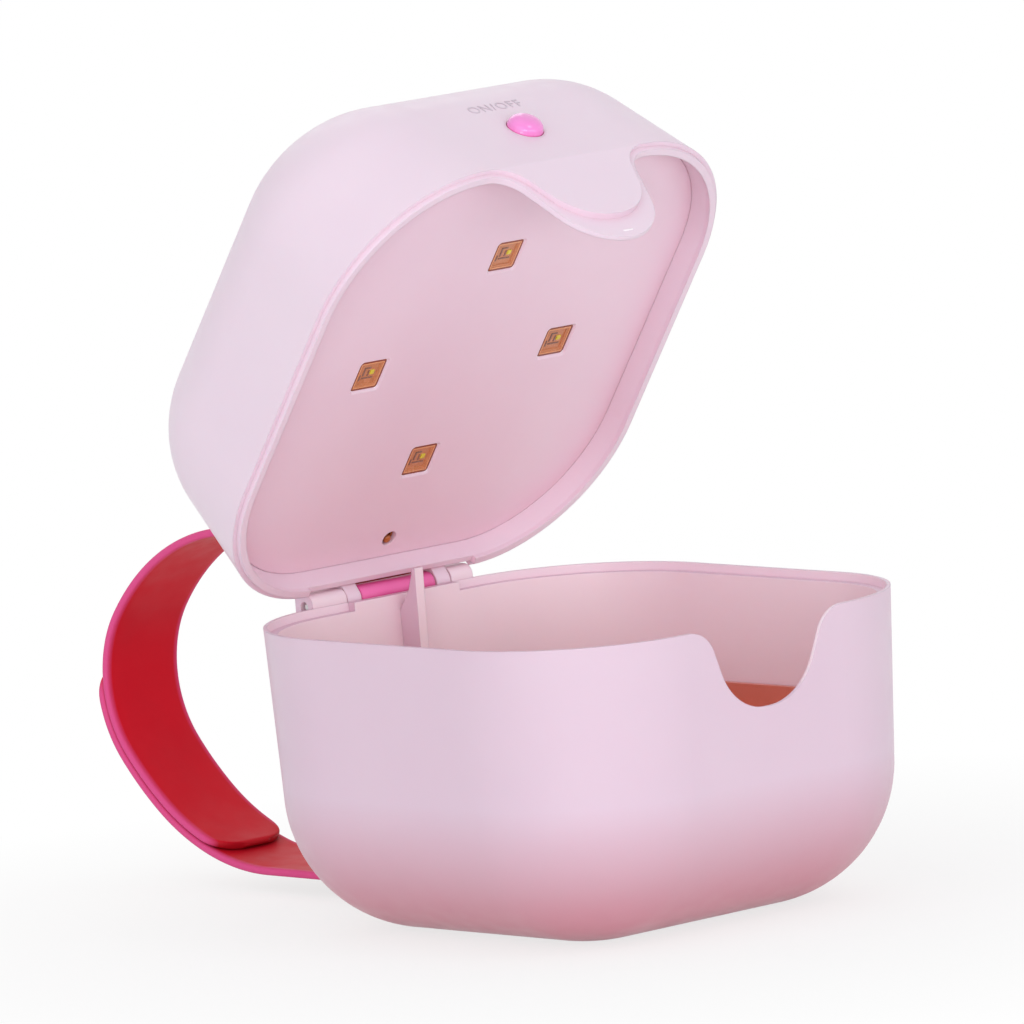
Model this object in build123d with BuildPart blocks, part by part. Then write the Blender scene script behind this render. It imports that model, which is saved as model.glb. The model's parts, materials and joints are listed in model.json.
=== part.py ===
from build123d import *
from math import atan, cos, hypot, pi, radians, sin, tan
import os

# Pacifier sterilizer case: a deep base and a lid on a rear hinge, with ultraviolet lamps in the lid, a
# notch in the front wall for a ribbon, and a silicone carrying strap round the hinge pin.
# The origin is the centre of the flat face that the case stands on. +Z is up and -Y is the front.
# Sizes are in millimetres and angles in degrees. The lid is drawn closed, and opened at the end.

# Case outline, seen from above
case_width = 75.0
case_depth = 75.0
case_corner = 22.5
wall = 1.8

# Base
base_height = 43.4
base_draft = 2.76
base_edge = 20.0

# Lid
lid_height = 29.4
lid_draft = 9.45
lid_edge = 17.0
lid_open = 55.0

# Parting line: the base's thin skirt stands outside the lid's lip
rim_gap = 0.5
skirt = 0.55
ledge_depth = 1.2
lip_clearance = 0.15
lip_end_gap = 0.95

# Bell-shaped notch in the front wall, which the lid's tongue fills
notch_depth = 12.15
notch_top_half = 11.4
notch_bottom_half = 6.55
notch_bottom_round = 9.0
notch_flare_round = 5.0
# the tongue's inner layer reaches this much further down behind the wall, and leans in to pass it
tongue_overlap = 3.0
tongue_lean = 1.6

# Hinge
hinge_behind = 1.5
hinge_above = 0.1
pin_radius = 0.75
pin_length = 28.2
pin_grip = 0.02
pin_running = 0.05
knuckle_radius = 1.8
block_top = 1.85
hinge_half_length = 15.5
knuckle_width = 2.6
sleeve_width = 14.3
sleeve_offset = 1.2
hinge_side_gap = 0.2
base_relief = 0.25
lid_relief = 0.65

# Interlock post at the back of the base and the switch that it presses
post_width = 1.6
post_offset = 0.3
post_tip_depth = 0.7
post_front = 7.05
post_tip_top = 3.8
post_foot = 14.5
interlock_hole_radius = 1.2
interlock_hole_shift = 0.35
interlock_plunger_radius = 0.65
interlock_travel = 0.6
interlock_tip_gap = 0.1

# Reflective liner in the bottom of the base
liner_top_below_rim = 16.2
liner_wall = 0.8
liner_gap = 0.15

# Lamp panel in the lid
panel_depth = 2.8
panel_thickness = 1.2
panel_gap = 0.05
lamp_circle = 18.0
lamp_window = 5.0
lamp_size = 4.7
lamp_height = 1.4
lamp_recess = 0.3
lamp_glass = 0.3

# Boards and battery in the lid
board_thickness = 1.2
stake_spacing = 30.0
lamp_board_size = 46.0
lamp_board_corner = 6.0
control_board_above_rim = 13.0
control_board_width = 57.0
control_board_depth = 30.0
boss_spacing_x = 36.0
boss_spacing_y = 22.0
boss_radius = 2.2
screw_radius = 0.7
screw_hole_depth = 6.0
screw_grip = 5.0
battery_length = 30.0
battery_width = 24.0
battery_thickness = 7.0
pad_thickness = 1.0
pad_margin = 3.0

# Charging socket in the right wall of the lid
port_width = 8.9
port_height = 3.2
port_length = 7.3
port_wall = 0.35
port_gap = 0.25

# Push button in the lid's front wall
button_above_rim = 8.7
button_radius = 2.8
button_gap = 0.12
button_dome = 1.8
button_flange = 0.9
button_travel = 0.5

# Carrying strap
strap_width = 14.0
strap_thickness = 1.15
strap_layer_gap = 0.1
strap_lift = 2.5
strap_back_gap = 0.2
strap_floor_bend = 11.0
strap_reach = 22.7
loop_radii = (32.9, 48.5, 16.1, 33.3)
loop_turns = (39.6, 11.4, 76.3, 81.2)
tail_overlap_turn = 16.0
outer_tail_turn = 46.0
stud_radius = 2.0
stud_head_radius = 3.2
stud_turns = (6.0, 20.0)

# ---------------------------------------------------------------- places worked out from the sizes above
rim_z = base_height
lid_rim_z = rim_z + rim_gap
lid_top_z = lid_rim_z + lid_height
hinge_y = case_depth / 2 + hinge_behind
hinge_z = rim_z + hinge_above
hinge_axis = Axis((0, hinge_y, hinge_z), (-1, 0, 0))
base_slope = tan(radians(base_draft))
lid_slope = tan(radians(lid_draft))

sleeve_left = sleeve_offset - sleeve_width / 2
sleeve_right = sleeve_offset + sleeve_width / 2
block_left = sleeve_left - knuckle_width - 2 * hinge_side_gap
block_right = sleeve_right + knuckle_width + 2 * hinge_side_gap
# where each knuckle and each hinge block starts, and how long it is
knuckle_spans = (
    (sleeve_left - hinge_side_gap - knuckle_width, knuckle_width),
    (sleeve_right + hinge_side_gap, knuckle_width),
)
block_spans = (
    (-hinge_half_length, block_left + hinge_half_length),
    (block_right, hinge_half_length - block_right),
)

panel_z = lid_rim_z + panel_depth
panel_top = panel_z + panel_thickness
lamp_board_z = panel_z + lamp_recess + lamp_height
control_board_z = rim_z + control_board_above_rim
control_board_top = control_board_z + board_thickness
lid_ceiling = lid_top_z - wall


def outline(z, inset, up=False):
    """Draw the case's outline on the level z, moved in by inset, facing up or down."""
    facing = Plane((0, 0, z), x_dir=(1, 0, 0), z_dir=(0, 0, 1 if up else -1))
    with BuildSketch(facing) as sketch:
        RectangleRounded(case_width - 2 * inset, case_depth - 2 * inset, case_corner - inset)
    return sketch.sketch


def drafted_block(inset, top, bottom, lean=0.0):
    """A block with the base's sloping sides, moved in by inset, from top down to bottom."""
    face = outline(top, inset)
    with BuildPart() as block:
        extrude(face, amount=top - bottom, taper=base_draft + lean)
    return block.part


def base_body(inset, floor):
    """The base's outside, moved in by inset, with its rounded lower edge, standing on floor."""
    face = outline(rim_z, inset)
    bottom_corner = case_corner - inset - (rim_z - floor) * base_slope
    with BuildPart() as body:
        extrude(face, amount=rim_z - floor, taper=base_draft)
        fillet(body.faces().sort_by(Axis.Z)[0].edges(), min(base_edge - inset, bottom_corner - 0.5))
    return body.part


def lid_body(inset):
    """The lid's outside, moved in by inset, with its rounded upper edge."""
    face = outline(lid_rim_z, inset, up=True)
    top_corner = case_corner - inset - (lid_height - inset) * lid_slope
    with BuildPart() as body:
        extrude(face, amount=lid_height - inset, taper=lid_draft)
        fillet(body.faces().sort_by(Axis.Z)[-1].edges(), min(lid_edge - inset, top_corner - 0.5))
    return body.part


def above_parting(grow, overlap=0.0):
    """Everything above the parting line, with the notch, when that line moves down and out by grow.

    The notch can also be made deeper than the wall's own, by overlap.
    """
    slope = (notch_top_half - notch_bottom_half) / (notch_depth + overlap)
    shift = grow * hypot(1, slope)
    top_half = notch_top_half + shift - grow * slope
    bottom_half = notch_bottom_half + shift - grow * slope
    span = top_half + notch_flare_round
    top, bottom = rim_z - grow, rim_z - notch_depth - overlap - grow
    ceiling = rim_z + case_width
    flare = notch_flare_round - grow
    corner_limit = (bottom_half - 0.05) / tan((pi / 2 - atan(slope)) / 2)
    corner = min(notch_bottom_round + grow, corner_limit)
    with BuildPart() as space:
        with BuildSketch(Plane.XY.offset(top)):
            Rectangle(2 * case_width, 2 * case_depth)
        extrude(amount=ceiling - top)
        with BuildSketch(Plane.XZ):
            with BuildLine():
                FilletPolyline(
                    (-span, ceiling), (-span, top), (-top_half, top), (-bottom_half, bottom),
                    (bottom_half, bottom), (top_half, top), (span, top), (span, ceiling),
                    radius=(0, 0, flare, corner, corner, flare, 0, 0), close=True,
                )
            make_face()
        extrude(amount=case_depth)
    return space.part


# ---------------------------------------------------------------- base shell
base_outside = base_body(0, 0)
base_inside = base_body(wall, wall)
notch_space = above_parting(0)
ledge_space = above_parting(ledge_depth, tongue_overlap)
ledge_bottom = rim_z - notch_depth - tongue_overlap - 2 * ledge_depth
skirt_inside = drafted_block(skirt, rim_z, ledge_bottom)

with BuildPart() as rabbet:
    add(skirt_inside)
    add(ledge_space, mode=Mode.INTERSECT)
    with BuildSketch(Plane.XY.offset(rim_z)):
        with Locations(((block_left + block_right) / 2, case_depth / 2)):
            Rectangle(block_right - block_left, case_corner)
    extrude(amount=-case_corner, mode=Mode.SUBTRACT)

with BuildPart() as base_fittings:
    # hinge blocks: the flat top at the back is the stop for the open lid
    for start, length in block_spans:
        with BuildSketch(Plane.YZ.offset(start)):
            with BuildLine():
                front, back = hinge_y - knuckle_radius, hinge_y + knuckle_radius
                FilletPolyline(
                    (front, rim_z - wall), (front, hinge_z + block_top), (back, hinge_z + block_top),
                    (back, rim_z - wall), (case_depth / 2 - wall / 2, rim_z - 4 * wall),
                    radius=(0, knuckle_radius - 0.2, 0.3, 1.0, 0), close=True,
                )
            make_face()
            with Locations((hinge_y, hinge_z)):
                Circle(pin_radius + pin_grip, mode=Mode.SUBTRACT)
        extrude(amount=length)
    # interlock post
    with BuildSketch(Plane.YZ.offset(post_offset - post_width / 2)):
        with BuildLine():
            tip_front = hinge_y - post_front
            tip_back = tip_front + post_tip_depth
            Polyline(
                (case_depth / 2 - wall / 2 - 0.5, rim_z - post_foot), (tip_front - 0.15, rim_z - post_foot + 3),
                (tip_front, rim_z + post_tip_top), (tip_back, rim_z + post_tip_top),
                (tip_back + 0.1, rim_z + panel_depth), (tip_back + 0.9, rim_z + rim_gap),
                (case_depth / 2 - wall / 2, rim_z - post_tip_top), close=True,
            )
        make_face()
    extrude(amount=post_width)

with BuildPart() as base_shell:
    add(base_outside)
    add(base_inside, mode=Mode.SUBTRACT)
    add(notch_space, mode=Mode.SUBTRACT)
    add(rabbet.part, mode=Mode.SUBTRACT)
    # the strap's sleeve and the lid's knuckles turn in this hollow of the rear wall
    with BuildSketch(Plane.YZ.offset(block_left)):
        with Locations((hinge_y, hinge_z)):
            Circle(knuckle_radius + base_relief)
    extrude(amount=block_right - block_left, mode=Mode.SUBTRACT)
    add(base_fittings.part)

# ---------------------------------------------------------------- reflective liner, dropped into the base
liner_inset = wall + liner_gap
liner_outside = base_body(liner_inset, wall)
liner_inside = base_body(liner_inset + liner_wall, wall + liner_wall)
with BuildPart() as chamber_liner:
    add(liner_outside)
    add(liner_inside, mode=Mode.SUBTRACT)
    split(bisect_by=Plane.XY.offset(rim_z - liner_top_below_rim), keep=Keep.BOTTOM)

# ---------------------------------------------------------------- hinge pin
with BuildPart() as hinge_pin:
    with BuildSketch(Plane.YZ.offset(-pin_length / 2)):
        with Locations((hinge_y, hinge_z)):
            Circle(pin_radius)
    extrude(amount=pin_length)
    chamfer(hinge_pin.edges(), 0.15)

# ---------------------------------------------------------------- carrying strap
floor_line = strap_lift + strap_thickness / 2
outer_radii = [radius + strap_thickness + strap_layer_gap for radius in loop_radii]
bend_y = hinge_y + strap_reach
bend_z = floor_line + outer_radii[0]


def strap_tail(radii, start_turn, turns):
    """The centre line of one tail from the first bend on, as tangent arcs that turn upwards."""
    first = CenterArc((bend_y, bend_z), radii[0], start_turn - 90, turns[0] - start_turn)
    for radius, turn in zip(radii[1:], turns[1:]):
        following = JernArc(first @ 1, first % 1, radius, turn)
        first = following
    return first


def bend_point(radius, turn):
    """The point of the first bend, at this radius, where the strap has turned upwards by turn."""
    angle = radians(turn - 90)
    return (bend_y + radius * cos(angle), bend_z + radius * sin(angle))


strap_left = sleeve_offset - strap_width / 2
with BuildPart() as strap:
    with BuildSketch(Plane.YZ.offset(strap_left)):
        with BuildLine():
            last = strap_tail(loop_radii, tail_overlap_turn, loop_turns)
            Line(last @ 1, (hinge_y + pin_radius, hinge_z))
        trace(line_width=strap_thickness)
    extrude(amount=strap_width)
    with BuildSketch(Plane.YZ.offset(strap_left)):
        with BuildLine():
            FilletPolyline(
                (hinge_y + strap_back_gap, hinge_z), (hinge_y + strap_back_gap, floor_line),
                (bend_y, floor_line), radius=strap_floor_bend,
            )
            strap_tail(outer_radii[:3], 0, (loop_turns[0], loop_turns[1], outer_tail_turn))
        trace(line_width=strap_thickness)
    extrude(amount=strap_width)
    tips = strap.edges().filter_by(lambda edge: abs(edge.length - strap_thickness) < 0.01)
    inner_tip = bend_point(loop_radii[0], tail_overlap_turn)
    fillet(tips.sort_by_distance((sleeve_offset, *inner_tip))[:2], strap_width / 3.5)
    tips = strap.edges().filter_by(lambda edge: abs(edge.length - strap_thickness) < 0.01)
    fillet(tips.sort_by(Axis.Y)[-2:], strap_width / 3.5)
    with BuildSketch(Plane.YZ.offset(sleeve_left)):
        with Locations((hinge_y, hinge_z)):
            Circle(knuckle_radius)
    extrude(amount=sleeve_width)
    with BuildSketch(Plane.YZ.offset(sleeve_left)):
        with Locations((hinge_y, hinge_z)):
            Circle(pin_radius + pin_running)
    extrude(amount=sleeve_width, mode=Mode.SUBTRACT)
    # the inner tail's studs button through holes in the outer tail
    for stud_turn in stud_turns:
        angle = radians(tail_overlap_turn + stud_turn - 90)
        outward = (0, cos(angle), sin(angle))
        y, z = bend_point(loop_radii[0], tail_overlap_turn + stud_turn)
        stud_plane = Plane((sleeve_offset, y, z), x_dir=(1, 0, 0), z_dir=outward)
        layers = strap_thickness / 2 + strap_layer_gap
        with BuildSketch(stud_plane.offset(layers)):
            Circle(stud_radius + strap_layer_gap)
        extrude(amount=strap_thickness, mode=Mode.SUBTRACT)
        with BuildSketch(stud_plane):
            Circle(stud_radius)
        extrude(amount=layers + strap_thickness + strap_layer_gap)
        with BuildSketch(stud_plane.offset(layers + strap_thickness + strap_layer_gap)):
            Circle(stud_head_radius)
        extrude(amount=strap_thickness / 2, taper=25)

# ---------------------------------------------------------------- lid shell
lid_outside = lid_body(0)
lid_inside = lid_body(wall)
tongue_floor = ledge_bottom
wall_outside = drafted_block(0, lid_rim_z, tongue_floor)
wall_inside = drafted_block(wall, lid_rim_z, tongue_floor - 1)
lip_outside = drafted_block(skirt + lip_clearance, lid_rim_z, tongue_floor, tongue_lean)
tongue_space = above_parting(-rim_gap)
lip_space = above_parting(ledge_depth - lip_end_gap, tongue_overlap)

with BuildPart() as tongue:
    add(wall_outside)
    add(tongue_space, mode=Mode.INTERSECT)

with BuildPart() as lip:
    add(lip_outside)
    add(lip_space, mode=Mode.INTERSECT)
    # the lip leaves room for the hinge
    with BuildSketch(Plane.XY.offset(lid_rim_z)):
        with Locations((0, case_depth / 2)):
            Rectangle(2 * (hinge_half_length + rim_gap), case_corner)
    extrude(amount=-case_corner, mode=Mode.SUBTRACT)

# The button's hole is square to the sloping front wall. This plane lies on the wall, facing out.
button_z = lid_rim_z + button_above_rim
button_y = -case_depth / 2 + button_above_rim * lid_slope
button_plane = Plane(
    (0, button_y, button_z), x_dir=(1, 0, 0), z_dir=(0, -cos(radians(lid_draft)), sin(radians(lid_draft)))
)
wall_through = wall * cos(radians(lid_draft))
dome_round = (button_radius**2 + button_dome**2) / (2 * button_dome)
flange_top = -wall_through - button_gap
flange_bottom = flange_top - button_flange
plunger_top = flange_bottom - 1.0
switch_top = plunger_top - button_travel - 0.3
switch_height = 3.5
switch_size = 6.0
switch_board_z = switch_top - switch_height
switch_boss_x = 7.0
switch_boss_radius = 1.6
switch_screw_radius = 0.6
switch_screw_grip = 2.6

port_z = control_board_top + port_height / 2
snap_offset = 12.0
snap_width = 5.0
snap_height = 5.0
snap_thickness = 1.0
snap_barb = 0.45
snap_barb_height = 0.9


def inner_half(z, across=case_width):
    """Half the distance between the lid's walls on the level z, below the rounded upper edge."""
    return across / 2 - wall - (z - lid_rim_z) * lid_slope


with BuildPart() as lid_shell:
    add(lid_outside)
    add(lid_inside, mode=Mode.SUBTRACT)
    add(tongue.part)
    add(lip.part)
    add(wall_inside, mode=Mode.SUBTRACT)
    # room for the hinge blocks and the strap's sleeve
    with BuildSketch(Plane.YZ.offset(-hinge_half_length - rim_gap)):
        with Locations((hinge_y, hinge_z)):
            Circle(knuckle_radius + lid_relief)
    extrude(amount=2 * (hinge_half_length + rim_gap), mode=Mode.SUBTRACT)
    # knuckles, each on a web from the rear wall
    for start, length in knuckle_spans:
        with BuildSketch(Plane.YZ.offset(start)):
            with Locations((hinge_y, hinge_z)):
                Circle(knuckle_radius)
            web_z = lid_rim_z + 3 * knuckle_radius
            with Locations((case_depth / 2 - wall / 2 - (web_z - lid_rim_z) * lid_slope, web_z)):
                Circle(wall / 4)
            make_hull()
            with Locations((hinge_y, hinge_z)):
                Circle(pin_radius + pin_running, mode=Mode.SUBTRACT)
        extrude(amount=length)
    # button hole
    with BuildSketch(button_plane):
        Circle(button_radius + button_gap)
    extrude(amount=-wall * 2, mode=Mode.SUBTRACT)
    # bosses for the switch board
    with BuildSketch(button_plane.offset(-wall_through / 2)):
        with Locations((-switch_boss_x, 0), (switch_boss_x, 0)):
            Circle(switch_boss_radius)
    extrude(amount=switch_board_z + wall_through / 2)
    with BuildSketch(button_plane.offset(switch_board_z)):
        with Locations((-switch_boss_x, 0), (switch_boss_x, 0)):
            Circle(switch_screw_radius)
    extrude(amount=3.0, mode=Mode.SUBTRACT)
    # bosses for the control board, down from the ceiling
    with BuildSketch(Plane.XY.offset(control_board_top)):
        with GridLocations(boss_spacing_x, boss_spacing_y, 2, 2):
            Circle(boss_radius)
    extrude(amount=lid_ceiling + wall / 4 - control_board_top)
    with BuildSketch(Plane.XY.offset(control_board_top)):
        with GridLocations(boss_spacing_x, boss_spacing_y, 2, 2):
            Circle(screw_radius)
    extrude(amount=screw_hole_depth, mode=Mode.SUBTRACT)
    # charging socket's window in the right wall
    with BuildSketch(Plane.YZ.offset(inner_half(port_z) - wall)):
        with Locations((0, port_z)):
            RectangleRounded(port_width + 2 * port_gap, port_height + 2 * port_gap, port_height / 2)
    extrude(amount=3 * wall, mode=Mode.SUBTRACT)
    # pockets for the panel's snap arms
    barb_z = panel_top + snap_height - snap_barb_height / 2
    for side in (-1, 1):
        with BuildSketch(Plane.YZ.offset(side * (inner_half(barb_z) - 0.2))):
            with Locations((-snap_offset, barb_z), (snap_offset, barb_z)):
                Rectangle(snap_width + 0.6, snap_barb_height + 0.6)
        extrude(amount=side * (snap_barb + 0.5), mode=Mode.SUBTRACT)

# ---------------------------------------------------------------- lamp panel
panel_inset = wall + panel_depth * lid_slope + panel_gap
panel_face = outline(panel_z, panel_inset, up=True)
lamp_places = PolarLocations(lamp_circle, 4, rotate=False)
interlock_y = hinge_y - post_front + post_tip_depth / 2
interlock_hole_y = interlock_y - interlock_hole_shift

with BuildPart() as led_panel:
    extrude(panel_face, amount=panel_thickness, taper=lid_draft)
    with BuildSketch(Plane.XY.offset(panel_z)):
        with lamp_places:
            RectangleRounded(lamp_window, lamp_window, 0.4)
    extrude(amount=panel_thickness, mode=Mode.SUBTRACT)
    window_edges = led_panel.faces().sort_by(Axis.Z)[0].inner_wires().edges()
    chamfer(window_edges, 0.3)
    with BuildSketch(Plane.XY.offset(panel_z)):
        with Locations((post_offset, interlock_hole_y)):
            Circle(interlock_hole_radius)
    extrude(amount=panel_thickness, mode=Mode.SUBTRACT)
    # stakes that hold the lamp board: a collar under the board and a melted head on top of it
    stake_levels = ((panel_top, 1.8, lamp_board_z), (lamp_board_z, 0.9, lamp_board_z + board_thickness),
                    (lamp_board_z + board_thickness, 1.6, lamp_board_z + board_thickness + 0.6))
    for low, radius, high in stake_levels:
        with BuildSketch(Plane.XY.offset(low)):
            with GridLocations(stake_spacing, stake_spacing, 2, 2):
                Circle(radius)
        extrude(amount=high - low)
    # snap arms that lean with the lid's walls
    for side in (-1, 1):
        with BuildSketch(Plane.XZ.offset(snap_offset - snap_width / 2)) as arm:
            with BuildLine():
                low_x = inner_half(panel_top) - panel_gap - 0.2
                high_z = panel_top + snap_height
                high_x = inner_half(high_z) - panel_gap - 0.2
                barb_x = inner_half(barb_z) - panel_gap - 0.2 + snap_barb
                barb_low = high_z - snap_barb_height
                Polyline(
                    (side * low_x, panel_top), (side * inner_half(barb_low) - side * 0.3, barb_low),
                    (side * barb_x, barb_low), (side * high_x, high_z),
                    (side * (high_x - snap_thickness), high_z), (side * (low_x - snap_thickness), panel_top),
                    close=True,
                )
            make_face()
        extrude(arm.sketch, amount=snap_width)
        extrude(arm.sketch.moved(Location((0, 2 * snap_offset, 0))), amount=snap_width)

# ---------------------------------------------------------------- lamp board, with a tab for the interlock switch
tab_back = inner_half(lamp_board_z + board_thickness, case_depth) - 0.6
tab_width = 12.0
with BuildPart() as led_board:
    with BuildSketch(Plane.XY.offset(lamp_board_z)):
        RectangleRounded(lamp_board_size, lamp_board_size, lamp_board_corner)
        with Locations((0, (lamp_board_size / 2 + tab_back) / 2 - 2)):
            Rectangle(tab_width, tab_back - lamp_board_size / 2 + 4)
        with GridLocations(stake_spacing, stake_spacing, 2, 2):
            Circle(1.0, mode=Mode.SUBTRACT)
        with Locations((post_offset, interlock_y)):
            Circle(interlock_plunger_radius + 0.25, mode=Mode.SUBTRACT)
    extrude(amount=board_thickness)

# ---------------------------------------------------------------- ultraviolet lamps and their glass lids
lamp_points = [(location.position.X, location.position.Y) for location in lamp_places]
lamp_low = lamp_board_z - lamp_height
uv_leds = []
led_windows = []
for point in lamp_points:
    with BuildPart() as uv_led:
        with BuildSketch(Plane.XY.offset(lamp_low)):
            with Locations(point):
                Rectangle(lamp_size, lamp_size)
        extrude(amount=lamp_height)
        with BuildSketch(Plane.XY.offset(lamp_low)):
            with Locations(point):
                Rectangle(lamp_size - 0.6, lamp_size - 0.6)
        extrude(amount=lamp_glass, mode=Mode.SUBTRACT)
        with BuildSketch(Plane.XY.offset(lamp_low)):
            with Locations(point):
                Rectangle(lamp_size - 1.2, lamp_size - 1.2)
        extrude(amount=lamp_height / 2, mode=Mode.SUBTRACT)
        with BuildSketch(Plane.XY.offset(lamp_low + lamp_height / 2)):
            with Locations(point):
                Rectangle(lamp_size / 4, lamp_size / 4)
        extrude(amount=-0.2)
    with BuildPart() as led_window:
        with BuildSketch(Plane.XY.offset(lamp_low)):
            with Locations(point):
                Rectangle(lamp_size - 0.7, lamp_size - 0.7)
        extrude(amount=lamp_glass)
    uv_leds.append(uv_led)
    led_windows.append(led_window)

# ---------------------------------------------------------------- interlock switch and its plunger
interlock_body = (6.0, 3.0, 3.2)
plunger_low = rim_z + post_tip_top + interlock_tip_gap - interlock_travel
plunger_high = lamp_board_z + board_thickness + 1.2
with BuildPart() as interlock_switch:
    with BuildSketch(Plane.XY.offset(lamp_board_z + board_thickness)):
        with Locations((post_offset, interlock_y - 0.3)):
            Rectangle(interlock_body[0], interlock_body[1])
    extrude(amount=interlock_body[2])
    with BuildSketch(Plane.XY.offset(lamp_board_z + board_thickness)):
        with Locations((post_offset, interlock_y)):
            Circle(interlock_plunger_radius + 0.08)
    extrude(amount=plunger_high + interlock_travel + 0.3 - lamp_board_z - board_thickness, mode=Mode.SUBTRACT)

with BuildPart() as interlock_plunger:
    with BuildSketch(Plane.XY.offset(plunger_low)):
        with Locations((post_offset, interlock_y)):
            Circle(interlock_plunger_radius)
    extrude(amount=plunger_high - plunger_low)
    fillet(interlock_plunger.edges().sort_by(Axis.Z)[0], interlock_plunger_radius * 0.6)

# ---------------------------------------------------------------- control board and what stands on it
board_right = inner_half(control_board_top) - 0.8
board_middle = board_right - control_board_width / 2
with BuildPart() as control_board:
    with BuildSketch(Plane.XY.offset(control_board_z)):
        with Locations((board_middle, 0)):
            RectangleRounded(control_board_width, control_board_depth, 2)
        with GridLocations(boss_spacing_x, boss_spacing_y, 2, 2):
            Circle(screw_radius + 0.2, mode=Mode.SUBTRACT)
    extrude(amount=board_thickness)

with BuildPart() as control_board_screws:
    with BuildSketch(Plane.XY.offset(control_board_z)):
        with GridLocations(boss_spacing_x, boss_spacing_y, 2, 2):
            Circle(1.5)
    extrude(amount=-1.0)
    with BuildSketch(Plane.XY.offset(control_board_z)):
        with GridLocations(boss_spacing_x, boss_spacing_y, 2, 2):
            Circle(screw_radius)
    extrude(amount=board_thickness + screw_grip)

chip_places = ((5.0, 5.0, 5.0, 5.0, 1.0), (14.0, -5.0, 3.0, 3.0, 0.9), (-5.0, -6.0, 4.0, 4.0, 2.0))
with BuildPart() as control_chips:
    for x, y, length, width, height in chip_places:
        with BuildSketch(Plane.XY.offset(control_board_top)):
            with Locations((x, y)):
                Rectangle(length, width)
        extrude(amount=height)

header_size = (10.0, 2.5)
header_y = -8.0
with BuildPart() as board_header:
    with BuildSketch(Plane.XY.offset(lamp_board_z + board_thickness)):
        with Locations((0, header_y)):
            Rectangle(*header_size)
    extrude(amount=control_board_z - lamp_board_z - board_thickness)

port_mouth = inner_half(port_z) + wall * 0.8
with BuildPart() as charging_port:
    with BuildSketch(Plane.YZ.offset(port_mouth)):
        with Locations((0, port_z)):
            RectangleRounded(port_width, port_height, port_height / 2 - 0.01)
    extrude(amount=-port_length)
    with BuildSketch(Plane.YZ.offset(port_mouth)):
        with Locations((0, port_z)):
            inner_height = port_height - 2 * port_wall
            RectangleRounded(port_width - 2 * port_wall, inner_height, inner_height / 2 - 0.01)
    extrude(amount=-port_length + 1.5, mode=Mode.SUBTRACT)
    with BuildSketch(Plane.YZ.offset(port_mouth - 1.0)):
        with Locations((0, port_z)):
            Rectangle(port_width - 2.2, 0.7)
    extrude(amount=-port_length + 2.0)

# ---------------------------------------------------------------- battery under the lid's ceiling
battery_top = lid_ceiling - pad_thickness
battery_low = battery_top - battery_thickness
with BuildPart() as battery_pad:
    with BuildSketch(Plane.XY.offset(battery_top)):
        RectangleRounded(battery_length - 2 * pad_margin, battery_width - 2 * pad_margin, 1)
    extrude(amount=pad_thickness)

with BuildPart() as battery:
    with BuildSketch(Plane.XY.offset(battery_low)):
        RectangleRounded(battery_length, battery_width, 1.5)
    extrude(amount=battery_thickness)
    fillet(battery.edges().filter_by(Axis.Z, reverse=True), 1.0)

connector_length = 5.0
connector_height = 4.0
connector_x = -battery_length / 2 + 3.0
lead_radius = 0.55
lead_pitch = 2.0
lead_z = control_board_top + connector_height / 2
lead_out = -battery_length / 2 - 3.0
with BuildPart() as battery_connector:
    with BuildSketch(Plane.XY.offset(control_board_top)):
        with Locations((connector_x, 0)):
            Rectangle(connector_length, 3 * lead_pitch)
    extrude(amount=connector_height)

with BuildPart() as battery_leads:
    for y in (-lead_pitch / 2, lead_pitch / 2):
        with BuildLine() as lead:
            FilletPolyline(
                (-battery_length / 2, y, battery_low + battery_thickness / 2),
                (lead_out, y, battery_low + battery_thickness / 2), (lead_out, y, lead_z),
                (connector_x - connector_length / 2, y, lead_z), radius=1.6,
            )
        with BuildSketch(Plane.YZ.offset(-battery_length / 2)):
            with Locations((y, battery_low + battery_thickness / 2)):
                Circle(lead_radius)
        sweep(path=lead.line)

# ---------------------------------------------------------------- push button, its switch and the small board
with BuildPart() as power_button:
    with BuildSketch(Plane(button_plane.origin, x_dir=(1, 0, 0), z_dir=-button_plane.y_dir)):
        with BuildLine():
            # half section: across is the distance from the button's axis, up is outwards
            Polyline(
                (0, plunger_top), (1.2, plunger_top), (1.2, flange_bottom),
                (button_radius + 1.0, flange_bottom), (button_radius + 1.0, flange_top),
                (button_radius, flange_top), (button_radius, 0),
            )
            RadiusArc((button_radius, 0), (0, button_dome), -dome_round)
            Line((0, button_dome), (0, plunger_top))
        make_face()
    revolve(axis=Axis(button_plane.origin, button_plane.z_dir))

with BuildPart() as tact_plunger:
    with BuildSketch(button_plane.offset(plunger_top)):
        Circle(1.7)
    extrude(amount=-(plunger_top - switch_top) - 0.9)

with BuildPart() as tact_switch:
    with BuildSketch(button_plane.offset(switch_board_z)):
        Rectangle(switch_size, switch_size)
    extrude(amount=switch_height)
    with BuildSketch(button_plane.offset(switch_top)):
        Circle(1.78)
    extrude(amount=-0.9 - button_travel - 0.3, mode=Mode.SUBTRACT)

switch_board_size = (18.0, 10.6)
switch_board_shift = 2.3
with BuildPart() as switch_board:
    with BuildSketch(button_plane.offset(switch_board_z)):
        with Locations((0, switch_board_shift)):
            RectangleRounded(*switch_board_size, 1)
        with Locations((-switch_boss_x, 0), (switch_boss_x, 0)):
            Circle(switch_screw_radius + 0.15, mode=Mode.SUBTRACT)
    extrude(amount=-board_thickness)

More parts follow.
